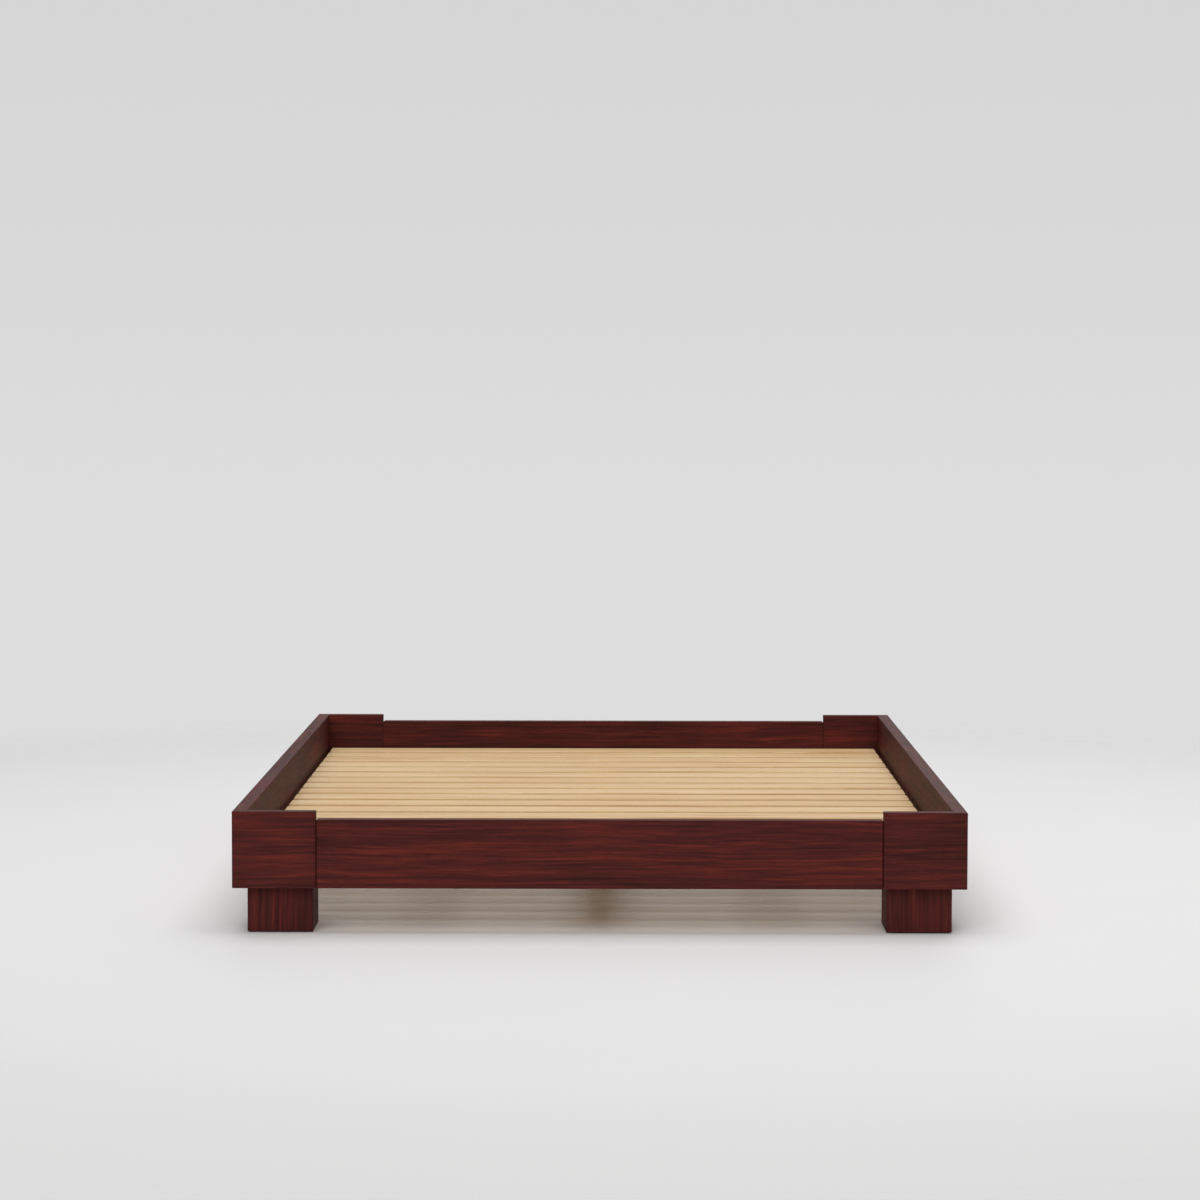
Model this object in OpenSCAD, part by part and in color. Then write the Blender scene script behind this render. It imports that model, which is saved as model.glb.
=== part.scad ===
// Low wooden bed frame with mitred corner boards, block legs and a roll-up slat mat.
// Units are millimetres. X runs across the bed, -Y is the foot end, Z is up,
// and the origin lies on the floor under the middle of the bed.

/* [Mattress] */
// Width of the mattress that the frame takes
mattress_w = 1400; // [1100:10:1900]
// Length of the mattress that the frame takes
mattress_l = 2000; // [1650:10:2400]
// Play left round the mattress on each side
mattress_gap = 10; // [5:1:20]

/* [Boards] */
// Thickness of the side rails, end rails and corner boards
board_t = 28; // [23:0.1:36]
// Height of the side rails and corner boards
side_h = 155; // [125:1:220]
// Drop of the end rails' top edge below the corner boards
end_drop = 16; // [0:1:40]
// Width of a corner board across the end of the bed
corner_w = 168; // [140:1:300]
// Chamfer along the long edges of the boards
board_arris = 1.5; // [0.5:0.1:3]
// Bevel round the ends of the end rails
seam_bevel = 3.5; // [1:0.1:6]
// Gap between an end rail and its corner boards
seam_gap = 0.5; // [0.2:0.1:1.5]

/* [Legs] */
// Side of the square leg blocks
leg_s = 132; // [105:1:165]
// Height of the boards' lower edge above the floor
floor_gap = 93; // [75:1:150]
// Chamfer of the legs' upright edges
leg_arris = 2; // [0.5:0.1:5]
// Thickness of the felt glide under each leg
glide_t = 2; // [1.5:0.1:6]
// Side of the square felt glide
glide_s = 104; // [60:1:104]

/* [Slat support] */
// Height of the ledge and leg tops above the boards' lower edge
ledge_rise = 50; // [42:1:60]
// Width of a side ledge, which the slat ends bear on
ledge_w = 30; // [25:1:45]
// Height of a side ledge
ledge_h = 40; // [30:1:42]
// Depth of the cleat behind each end rail
cleat_t = 40; // [30:1:50]
// Drop of the cleats' top below the ledges' top
cleat_drop = 5; // [3:0.5:10]
// Width of the centre beam
beam_w = 70; // [50:1:90]
// Play between the centre beam and its hangers
beam_play = 0.5; // [0.3:0.1:1.5]
// Distance from the middle of the bed to each support post
post_y = 340; // [150:10:420]
// Side of the square support posts
post_s = 60; // [50:1:80]

/* [Slats] */
// Number of slats in the mat
slat_n = 18; // [16:1:19]
// Width of a slat
slat_w = 80; // [60:1:100]
// Thickness of a slat
slat_t = 20; // [15:0.5:26]
// Play between the mat and each end of the bed
mat_end_gap = 5; // [2:1:15]
// Chamfer along the long edges of the slats
slat_arris = 2; // [0.5:0.1:4]
// Width of a webbing tape
tape_w = 30; // [20:1:45]
// Thickness of a webbing tape
tape_t = 1.2; // [0.8:0.1:2]

/* [Steel fittings] */
// Plate thickness of the beam hangers
hanger_t = 2; // [1.5:0.1:3]
// Length of beam that a hanger holds
hanger_d = 40; // [30:1:60]
// Width of a hanger's fixing flange
hanger_flange = 20; // [18:1:26]
// Plate thickness of the angle brackets
bracket_t = 3; // [2:0.1:5]
// Length of each bracket flange
bracket_l = 50; // [45:1:60]
// Height of the angle brackets
bracket_h = 30; // [22:1:34]
// Nominal diameter of the leg bolts
bolt_d = 8; // [6:1:10]
// Distance between the two bolts of a pair
bolt_pitch = 72; // [50:1:80]
// Wood left under a leg bolt's washer
bolt_grip = 60; // [40:1:80]
// Length of a threaded insert
insert_l = 20; // [12:1:21]

/* [Levelling feet] */
// Diameter of the foot pad
pad_d = 40; // [34:1:58]
// Height of the foot pad
pad_h = 12; // [11:0.5:16]
// Space between the turning collar and the post
foot_travel = 7; // [5:1:12]
// Diameter of the threaded stem
stem_d = 8; // [6:1:8]

/* [Hidden] */
$fn = 48;

// Overall sizes that follow from the mattress
inner_w = mattress_w + 2 * mattress_gap;
inner_l = mattress_l + 2 * mattress_gap;
outer_w = inner_w + 2 * board_t;
outer_l = inner_l + 2 * board_t;
end_h = side_h - end_drop;
end_rail_l = outer_w - 2 * corner_w - 2 * seam_gap;
ledge_top = floor_gap + ledge_rise;

// Leg blocks, their bolts and the inserts that the bolts screw into
leg_x = -outer_w / 2 + board_t;
leg_y = -outer_l / 2 + board_t;
washer_r = bolt_d;
washer_t = 1.6;
bolt_head_r = 0.81 * bolt_d;
bolt_head_h = bolt_d;
bolt_hole_r = bolt_d / 2 + 0.5;
counterbore_r = washer_r + 1;
counterbore_wall = 5;
insert_r = bolt_d / 2 + 2;
thread_clear = 0.05;
bolt_tip_gap = 2;
bolt_l = bolt_grip + insert_l - bolt_tip_gap + washer_t;
bolt_row_low = floor_gap + counterbore_r + counterbore_wall;
bolt_row_high = ledge_top - counterbore_r - counterbore_wall;

// Ledges, cleats, centre beam and posts
ledge_l = inner_l - 2 * leg_s;
cleat_l = inner_w - 2 * leg_s;
cleat_h = ledge_rise - cleat_drop;
cleat_back = leg_y + cleat_t;
beam_h = ledge_rise - hanger_t;
beam_bottom = floor_gap + hanger_t;
beam_l = inner_l - 2 * cleat_t - 2 * beam_play;
hanger_h = cleat_h - 5;
hanger_in = beam_w + 2 * beam_play;

// Wood screws: [shank radius, length, head radius, head height]
ledge_screw = [2.5, ledge_w + 20, 5, 3];
cleat_screw = [2.5, cleat_t + 20, 5, 3];
post_screw = [3, beam_h + 50, 6, 3.6];
pan_screw = [2.5, 30, 5, 2.8];
screw_clear = 0.05;
plate_hole_clear = 0.3;
ledge_screw_n = 7;
cleat_screw_n = 6;
screw_margin = 100;
post_screw_pitch = 36;

// Dowels
mitre_dowel = [3, 24];
seam_dowel = [4, 40];
dowel_margin = 30;
dowel_clear = 0.05;

// Slat mat
mat_l = inner_l - 2 * mat_end_gap;
slat_l = mattress_w;
slat_pitch = (mat_l - slat_w) / (slat_n - 1);
tape_x = mattress_w / 4;
tape_end_gap = 15;
staple_crown = 12;
staple_wire = 1.2;
staple_leg = 9;
staple_pitch = 36;

// Levelling feet
ball_r = 5.5;
ball_z = 6.5;
fit_clear = 0.05;
collar_h = 6;
collar_flats = 13;
stem_in_post = 30;
stem_bore_l = 45;
post_insert_l = 25;
post_insert_wall = 2;
post_bottom = pad_h + collar_h + foot_travel;

TIMBER = "#4c2320";
BIRCH = "#d9bd90";
ZINC = "#b9bcc0";
BRASS = "#b08d4c";
FELT = "#57534f";
TAPE = "#e4e0d6";
PLASTIC = "#222326";

ENDS = ["foot", "head"];
SIDES = ["left", "right"];
SLATS = [for (i = [1 : slat_n]) str("slat_", i < 10 ? "0" : "", i)];

// ---- Placing ----

// The foot-left quarter of the bed carried to the named quarter
module quarter(end, side) {
    mirror([side == "right" ? 1 : 0, 0, 0])
        mirror([0, end == "head" ? 1 : 0, 0])
            children();
}

module each_quarter() {
    for (e = ENDS, s = SIDES) quarter(e, s) children();
}

module each_end() {
    for (e = ENDS) quarter(e, "left") children();
}

// Seats of a leg's bolts, with +Z along each bolt towards its board
module at_side_bolts() {
    for (d = [-1, 1])
        translate([leg_x + bolt_grip, leg_y + leg_s / 2 + d * bolt_pitch / 2, bolt_row_low])
            rotate([0, -90, 0]) children();
}

module at_corner_bolts() {
    for (d = [-1, 1])
        translate([leg_x + leg_s / 2 + d * bolt_pitch / 2, leg_y + bolt_grip, bolt_row_high])
            rotate([90, 0, 0]) children();
}

// Heads of the screws that hold a side ledge, in the left half
module at_ledge_screws() {
    run = ledge_l - 2 * screw_margin;
    for (i = [0 : ledge_screw_n - 1])
        translate([leg_x + ledge_w, -run / 2 + i * run / (ledge_screw_n - 1),
                   ledge_top - ledge_h / 2])
            rotate([0, -90, 0]) children();
}

// Heads of the screws that hold the foot cleat
module at_cleat_screws() {
    run = cleat_l - 2 * screw_margin;
    for (i = [0 : cleat_screw_n - 1])
        translate([-run / 2 + i * run / (cleat_screw_n - 1), cleat_back,
                   floor_gap + cleat_h / 2])
            rotate([90, 0, 0]) children();
}

// Screw seats on the foot-left bracket: its flange on the leg, then its flange on the cleat
module at_bracket_screws() {
    z = floor_gap + cleat_h / 2;
    for (d = [0.4, 0.78]) {
        translate([leg_x + leg_s + bracket_t, cleat_back + d * bracket_l, z])
            rotate([0, -90, 0]) children();
        translate([leg_x + leg_s + d * bracket_l, cleat_back + bracket_t, z])
            rotate([90, 0, 0]) children();
    }
}

// Screw seats on the foot hanger's two flanges
module at_hanger_screws() {
    for (side = [-1, 1], up = [0.25, 0.75])
        translate([side * (hanger_in / 2 + hanger_t + hanger_flange / 2),
                   cleat_back + hanger_t, floor_gap + up * hanger_h])
            rotate([90, 0, 0]) children();
}

module at_post_screws() {
    for (d = [-1, 1])
        translate([0, -post_y + d * post_screw_pitch / 2, ledge_top])
            rotate([180, 0, 0]) children();
}

// Middles of the foot-left mitre's dowels, with +Z across the mitre
module at_mitre_dowels() {
    for (z = [dowel_margin, side_h / 2, side_h - dowel_margin])
        translate([leg_x - board_t / 2, leg_y - board_t / 2, floor_gap + z])
            rotate([0, 0, -45]) rotate([0, 90, 0]) children();
}

// Middles of the foot-left seam's dowels, with +Z along the end rail
module at_seam_dowels() {
    for (z = [dowel_margin, end_h - dowel_margin])
        translate([-outer_w / 2 + corner_w + seam_gap / 2, leg_y - board_t / 2, floor_gap + z])
            rotate([0, 90, 0]) children();
}

// ---- Shapes that repeat ----

function chamfered(w, h, c) =
    [[c, 0], [w - c, 0], [w, c], [w, h - c], [w - c, h], [c, h], [0, h - c], [0, c]];

// A board along +X with its section's corner on the origin
module board_x(l, t, h, arris) {
    rotate([90, 0, 90]) linear_extrude(l) polygon(chamfered(t, h, arris));
}

// A board along +Y with its section's corner on the origin
module board_y(l, t, h, arris) {
    translate([0, l, 0]) rotate([90, 0, 0]) linear_extrude(l) polygon(chamfered(t, h, arris));
}

module post(s, h, arris) {
    linear_extrude(h) polygon(chamfered(s, s, arris));
}

// Countersunk wood screw with its head flush with z = 0 and its point along +Z
module wood_screw(size) {
    point = 2.5 * size[0];
    difference() {
        union() {
            cylinder(h = size[3], r1 = size[2], r2 = size[0]);
            cylinder(h = size[1] - point, r = size[0]);
            translate([0, 0, size[1] - point]) cylinder(h = point, r1 = size[0], r2 = 0.4);
        }
        translate([0, 0, -1]) cylinder(h = 1 + 0.7 * size[3], r = 0.45 * size[2], $fn = 6);
    }
}

module wood_screw_hole(size, clear = screw_clear) {
    translate([0, 0, -clear])
        cylinder(h = size[3] + clear, r1 = size[2] + clear, r2 = size[0] + clear);
    translate([0, 0, -1]) cylinder(h = size[1] + 2, r = size[0] + clear);
}

// Pan-head screw whose head stands on the plate at z = 0
module pan_head_screw(size) {
    point = 2.5 * size[0];
    difference() {
        union() {
            translate([0, 0, -size[3] / 2]) cylinder(h = size[3] / 2, r = size[2]);
            translate([0, 0, -size[3]])
                cylinder(h = size[3] / 2, r1 = 0.7 * size[2], r2 = size[2]);
            cylinder(h = size[1] - point, r = size[0]);
            translate([0, 0, size[1] - point]) cylinder(h = point, r1 = size[0], r2 = 0.4);
        }
        translate([0, 0, -size[3] - 1])
            cylinder(h = 1 + 0.6 * size[3], r = 0.45 * size[2], $fn = 6);
    }
}

module pan_screw_hole(size, clear) {
    translate([0, 0, -1]) cylinder(h = size[1] + 2, r = size[0] + clear);
}

module dowel(size) {
    cylinder(h = size[1], r = size[0], center = true);
}

module dowel_hole(size) {
    cylinder(h = size[1] + 2, r = size[0] + dowel_clear, center = true);
}

// ---- Boards ----

module side_rail(side) {
    color(TIMBER) quarter("foot", side) difference() {
        intersection() {
            translate([-outer_w / 2, -outer_l / 2, floor_gap])
                board_y(outer_l, board_t, side_h, board_arris);
            translate([0, 0, floor_gap]) linear_extrude(side_h)
                polygon([[-outer_w / 2, -outer_l / 2], [leg_x, leg_y],
                         [leg_x, -leg_y], [-outer_w / 2, outer_l / 2]]);
        }
        at_ledge_screws() wood_screw_hole(ledge_screw);
        each_end() {
            at_side_bolts() translate([0, 0, bolt_grip - 1])
                cylinder(h = insert_l + 1, r = insert_r + thread_clear);
            at_mitre_dowels() dowel_hole(mitre_dowel);
        }
    }
}

module corner_board(end, side) {
    color(TIMBER) quarter(end, side) difference() {
        intersection() {
            translate([-outer_w / 2, -outer_l / 2, floor_gap])
                board_x(corner_w, board_t, side_h, board_arris);
            translate([0, 0, floor_gap]) linear_extrude(side_h)
                polygon([[-outer_w / 2, -outer_l / 2],
                         [-outer_w / 2 + corner_w, -outer_l / 2],
                         [-outer_w / 2 + corner_w, leg_y], [leg_x, leg_y]]);
        }
        at_corner_bolts() translate([0, 0, bolt_grip - 1])
            cylinder(h = insert_l + 1, r = insert_r + thread_clear);
        at_mitre_dowels() dowel_hole(mitre_dowel);
        at_seam_dowels() dowel_hole(seam_dowel);
    }
}

// End rail between the corner boards, bevelled where its ends meet them
module end_rail(end) {
    x0 = -end_rail_l / 2;
    y0 = -outer_l / 2;
    b = seam_bevel;
    color(TIMBER) quarter(end, "left") difference() {
        intersection() {
            translate([x0, y0, floor_gap]) board_x(end_rail_l, board_t, end_h, board_arris);
            translate([0, 0, floor_gap]) linear_extrude(end_h)
                polygon([[x0, y0 + b], [x0 + b, y0], [-x0 - b, y0], [-x0, y0 + b],
                         [-x0, leg_y], [x0, leg_y]]);
            translate([0, leg_y, floor_gap]) rotate([90, 0, 0]) linear_extrude(board_t)
                polygon([[x0, 0], [-x0, 0], [-x0, end_h - b], [-x0 - b, end_h],
                         [x0 + b, end_h], [x0, end_h - b]]);
        }
        at_cleat_screws() wood_screw_hole(cleat_screw);
        for (s = SIDES) quarter("foot", s) at_seam_dowels() dowel_hole(seam_dowel);
    }
}

// ---- Legs ----

module leg(end, side) {
    color(TIMBER) quarter(end, side) difference() {
        translate([leg_x, leg_y, glide_t]) post(leg_s, ledge_top - glide_t, leg_arris);
        at_side_bolts() leg_bolt_hole();
        at_corner_bolts() leg_bolt_hole();
        at_bracket_screws() pan_screw_hole(pan_screw, screw_clear);
    }
}

module leg_bolt_hole() {
    translate([0, 0, -1]) cylinder(h = bolt_grip + 2, r = bolt_hole_r);
    translate([0, 0, bolt_grip - leg_s - 1]) cylinder(h = leg_s - bolt_grip + 1, r = counterbore_r);
}

module leg_bolt() {
    difference() {
        union() {
            translate([0, 0, -washer_t]) cylinder(h = bolt_l, r = bolt_d / 2);
            translate([0, 0, -washer_t - bolt_head_h]) cylinder(h = bolt_head_h, r = bolt_head_r);
        }
        translate([0, 0, -washer_t - bolt_head_h - 1])
            cylinder(h = 1 + bolt_head_h / 2, r = 0.43 * bolt_d, $fn = 6);
    }
}

module leg_washer() {
    translate([0, 0, -washer_t]) difference() {
        cylinder(h = washer_t, r = washer_r);
        translate([0, 0, -1]) cylinder(h = washer_t + 2, r = bolt_d / 2 + 0.2);
    }
}

// Threaded insert screwed into the board behind the leg
module leg_insert() {
    translate([0, 0, bolt_grip]) difference() {
        cylinder(h = insert_l, r = insert_r);
        translate([0, 0, -1]) cylinder(h = insert_l + 2, r = bolt_d / 2 + thread_clear);
    }
}

module felt_glide() {
    inset = (leg_s - glide_s) / 2;
    translate([leg_x + inset, leg_y + inset, 0]) cube([glide_s, glide_s, glide_t]);
}

// ---- Slat support ----

module side_ledge(side) {
    color(BIRCH) quarter("foot", side) difference() {
        translate([leg_x, -ledge_l / 2, ledge_top - ledge_h])
            board_y(ledge_l, ledge_w, ledge_h, board_arris);
        at_ledge_screws() wood_screw_hole(ledge_screw);
    }
}

module end_cleat(end) {
    color(BIRCH) quarter(end, "left") difference() {
        translate([-cleat_l / 2, leg_y, floor_gap]) board_x(cleat_l, cleat_t, cleat_h, board_arris);
        at_cleat_screws() wood_screw_hole(cleat_screw);
        at_hanger_screws() pan_screw_hole(pan_screw, screw_clear);
        for (s = SIDES) quarter("foot", s)
            at_bracket_screws() pan_screw_hole(pan_screw, screw_clear);
    }
}

module centre_beam() {
    color(BIRCH) difference() {
        translate([-beam_w / 2, -beam_l / 2, beam_bottom]) board_y(beam_l, beam_w, beam_h, board_arris);
        each_end() at_post_screws() wood_screw_hole(post_screw);
    }
}

module beam_hanger(end) {
    side_x = hanger_in / 2;
    color(ZINC) quarter(end, "left") difference() {
        translate([0, cleat_back, floor_gap]) union() {
            translate([-side_x - hanger_t, 0, 0]) cube([hanger_in + 2 * hanger_t, hanger_d, hanger_t]);
            for (m = [0, 1]) mirror([m, 0, 0]) {
                translate([side_x, 0, 0]) cube([hanger_t, hanger_d, hanger_h]);
                translate([side_x, 0, 0]) cube([hanger_t + hanger_flange, hanger_t, hanger_h]);
            }
        }
        at_hanger_screws() pan_screw_hole(pan_screw, plate_hole_clear);
    }
}

module support_post(end) {
    r_insert = stem_d / 2 + post_insert_wall;
    color(BIRCH) quarter(end, "left") difference() {
        translate([-post_s / 2, -post_y - post_s / 2, post_bottom])
            post(post_s, beam_bottom - post_bottom, leg_arris);
        translate([0, -post_y, post_bottom]) {
            translate([0, 0, -1]) cylinder(h = stem_bore_l + 1, r = stem_d / 2 + 0.5);
            translate([0, 0, -1]) cylinder(h = post_insert_l + 1, r = r_insert + thread_clear);
        }
        at_post_screws() wood_screw_hole(post_screw);
    }
}

module post_insert() {
    translate([0, -post_y, post_bottom]) difference() {
        cylinder(h = post_insert_l, r = stem_d / 2 + post_insert_wall);
        translate([0, 0, -1]) cylinder(h = post_insert_l + 2, r = stem_d / 2 + fit_clear);
    }
}

module angle_bracket() {
    z = floor_gap + (cleat_h - bracket_h) / 2;
    difference() {
        translate([leg_x + leg_s, cleat_back, z]) union() {
            cube([bracket_t, bracket_l, bracket_h]);
            cube([bracket_l, bracket_t, bracket_h]);
        }
        at_bracket_screws() pan_screw_hole(pan_screw, plate_hole_clear);
    }
}

// ---- Levelling feet ----

// Stem with a ball end held in the pad and a hexagon collar for the spanner
module levelling_stem(end) {
    top = post_bottom + stem_in_post;
    color(ZINC) quarter(end, "left") translate([0, -post_y, 0]) {
        translate([0, 0, ball_z]) sphere(r = ball_r);
        translate([0, 0, ball_z]) cylinder(h = top - ball_z, r = stem_d / 2);
        translate([0, 0, pad_h]) cylinder(h = collar_h, r = collar_flats / sqrt(3), $fn = 6);
    }
}

module levelling_pad(end) {
    rim = 4;
    neck_r = 10;
    color(PLASTIC) quarter(end, "left") translate([0, -post_y, 0]) difference() {
        rotate_extrude() polygon([[0, 0], [pad_d / 2 - 1, 0], [pad_d / 2, 1], [pad_d / 2, rim],
                                  [neck_r, pad_h - fit_clear], [0, pad_h - fit_clear]]);
        translate([0, 0, ball_z]) sphere(r = ball_r + fit_clear);
        translate([0, 0, ball_z]) cylinder(h = pad_h, r = stem_d / 2 + fit_clear);
    }
}

// ---- Slat mat ----

function slat_y(i) = -mat_l / 2 + slat_w / 2 + (i - 1) * slat_pitch;

module slat(i) {
    color(BIRCH) translate([-slat_l / 2, slat_y(i) - slat_w / 2, ledge_top])
        board_x(slat_l, slat_w, slat_t, slat_arris);
}

module webbing(side) {
    l = mat_l - 2 * tape_end_gap;
    color(TAPE) quarter("foot", side)
        translate([-tape_x - tape_w / 2, -l / 2, ledge_top - tape_t]) cube([tape_w, l, tape_t]);
}

module staple() {
    c = staple_crown;
    w = staple_wire;
    translate([-c / 2, -w / 2, -tape_t - w / 2]) cube([c, w, w / 2]);
    for (x = [-c / 2, c / 2 - w / 2])
        translate([x, -w / 2, -tape_t - w / 2]) cube([w / 2, w, staple_leg]);
}

// ---- What each node shows ----

for (s = SIDES) {
    side_rail(s);
    side_ledge(s);
    webbing(s);
}
for (e = ENDS, s = SIDES) {
    corner_board(e, s);
    leg(e, s);
}
for (e = ENDS) {
    end_rail(e);
    end_cleat(e);
    beam_hanger(e);
    support_post(e);
    levelling_stem(e);
    levelling_pad(e);
}
centre_beam();
color(BRASS) each_end() post_insert();  // post_inserts
color(ZINC) each_quarter() angle_bracket();  // angle_brackets
color(ZINC) each_quarter() at_bracket_screws() pan_head_screw(pan_screw);  // bracket_screws
color(ZINC) each_quarter() {  // leg_bolts
        at_side_bolts() leg_bolt();
        at_corner_bolts() leg_bolt();
    }
color(ZINC) each_quarter() {  // leg_washers
        at_side_bolts() leg_washer();
        at_corner_bolts() leg_washer();
    }
color(BRASS) each_quarter() {  // leg_inserts
        at_side_bolts() leg_insert();
        at_corner_bolts() leg_insert();
    }
color(ZINC) for (s = SIDES) quarter("foot", s) at_ledge_screws() wood_screw(ledge_screw);  // ledge_screws
color(ZINC) each_end() at_cleat_screws() wood_screw(cleat_screw);  // cleat_screws
color(ZINC) each_end() at_hanger_screws() pan_head_screw(pan_screw);  // hanger_screws
color(ZINC) each_end() at_post_screws() wood_screw(post_screw);  // post_screws
color(FELT) each_quarter() felt_glide();  // felt_glides
color(ZINC) for (i = [1 : slat_n], x = [-tape_x, tape_x], d = [-1, 1])  // webbing_staples
        translate([x, slat_y(i) + d * staple_pitch / 2, ledge_top]) staple();
color(BIRCH) each_quarter() at_mitre_dowels() dowel(mitre_dowel);  // mitre_dowels
color(BIRCH) each_quarter() at_seam_dowels() dowel(seam_dowel);  // seam_dowels
for (i = [1 : slat_n])
    slat(i);
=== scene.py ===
# Low wooden bed frame: mitred boards on block legs, a centre beam with levelling feet and a loose
# mat of slats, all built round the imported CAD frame. Lengths are metres.
import math

import bpy
import numpy as np
from mathutils import Matrix, Vector


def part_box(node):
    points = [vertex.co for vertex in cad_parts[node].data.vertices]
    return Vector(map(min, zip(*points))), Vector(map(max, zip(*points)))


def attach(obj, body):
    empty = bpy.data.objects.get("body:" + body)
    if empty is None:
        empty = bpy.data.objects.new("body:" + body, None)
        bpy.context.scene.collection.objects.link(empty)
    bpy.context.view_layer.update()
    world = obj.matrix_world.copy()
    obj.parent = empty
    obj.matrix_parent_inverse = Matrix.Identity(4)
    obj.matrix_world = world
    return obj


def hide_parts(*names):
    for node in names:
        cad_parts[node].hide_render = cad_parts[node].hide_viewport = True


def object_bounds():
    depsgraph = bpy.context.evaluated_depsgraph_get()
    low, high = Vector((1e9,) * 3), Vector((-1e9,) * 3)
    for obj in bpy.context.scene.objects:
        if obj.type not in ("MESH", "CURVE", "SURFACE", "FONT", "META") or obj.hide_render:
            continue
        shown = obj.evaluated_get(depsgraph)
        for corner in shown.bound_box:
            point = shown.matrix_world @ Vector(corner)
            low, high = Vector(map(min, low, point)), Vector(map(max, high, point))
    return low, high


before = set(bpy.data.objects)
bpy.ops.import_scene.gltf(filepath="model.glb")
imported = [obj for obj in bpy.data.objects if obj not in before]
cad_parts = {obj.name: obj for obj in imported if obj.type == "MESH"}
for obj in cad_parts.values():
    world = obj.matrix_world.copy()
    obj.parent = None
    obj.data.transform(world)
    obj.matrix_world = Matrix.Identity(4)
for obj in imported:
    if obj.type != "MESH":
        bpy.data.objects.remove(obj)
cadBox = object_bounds()
ends, sides = ("foot", "head"), ("left", "right")
mm = 0.001
x3, y3, z3 = np.eye(3)
random = np.random.default_rng(12)


def boxOf(node):
    low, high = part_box(node)
    return np.array(low), np.array(high)


def sizeOf(node):
    low, high = boxOf(node)
    return high - low


def middleOf(node):
    low, high = boxOf(node)
    return (low + high) / 2


def quarterSigns(end, side):
    # carries the foot-left quarter of the bed, which is the low corner, to the named one
    return np.array([1 if side == "left" else -1, 1 if end == "foot" else -1, 1])


def moved(seats, signs):
    # seats of the foot-left quarter carried to another quarter, with their axes
    return [(np.array(p) * signs, np.array(a) * signs) for p, a in seats]


def allSeats(seats, every=ends, both=sides):
    return [seat for end in every for side in both for seat in moved(seats, quarterSigns(end, side))]


bedLow = np.array(cadBox[0])
boardThick = sizeOf("side_rail_left")[0]
boardBottom = boxOf("side_rail_left")[0][2]
legCorner = bedLow[:2] + boardThick       # where the foot-left leg meets the two boards' inner faces
legSide = sizeOf("leg_foot_left")[0]
ledgeTop = boxOf("side_ledge_left")[1][2]
cleatHeight = sizeOf("foot_cleat")[2]
cleatBack = boxOf("foot_cleat")[1][1]
postAt = -boxOf("support_post_foot")[0][1] - sizeOf("support_post_foot")[1] / 2

# The camera, worked out from three angles: right, up and forward axes in one matrix

camera = {
    "standBack": 6.972,      # m from the foot boards' face
    "toTheRight": 0.030,
    "height": 1.107,
    "lens": 104.97,          # mm on a 36 mm sensor
    "downDeg": 3.552,
    "turnDeg": -0.246,
    "rollDeg": 0.086,
}


def placed(name, data):
    made = bpy.data.objects.new(name, data)
    bpy.context.scene.collection.objects.link(made)
    return made


def makeCamera(c):
    down, turn, roll = (math.radians(c[k]) for k in ("downDeg", "turnDeg", "rollDeg"))
    forward = np.array([math.sin(turn) * math.cos(down), math.cos(turn) * math.cos(down), -math.sin(down)])
    right = np.array([math.cos(turn), -math.sin(turn), 0])
    up = np.cross(right, forward)
    place = np.eye(4)
    place[:3, 0] = math.cos(roll) * right + math.sin(roll) * up
    place[:3, 1] = math.cos(roll) * up - math.sin(roll) * right
    place[:3, 2] = -forward
    place[:3, 3] = c["toTheRight"], bedLow[1] - c["standBack"], c["height"]
    data = bpy.data.cameras.new("camera")
    data.lens, data.sensor_width, data.clip_end = c["lens"], 36, 100
    made = placed("camera", data)
    made.matrix_world = Matrix(place.tolist())
    bpy.context.scene.camera = made


makeCamera(camera)
print("camera ready")

# Materials


def linear(r, g, b):
    # a screen colour, 0 to 255 a channel, as the renderer's linear values
    c = np.array([r, g, b]) / 255
    return tuple(np.where(c <= 0.04045, c / 12.92, ((c + 0.055) / 1.055) ** 2.4)) + (1.0,)


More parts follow.
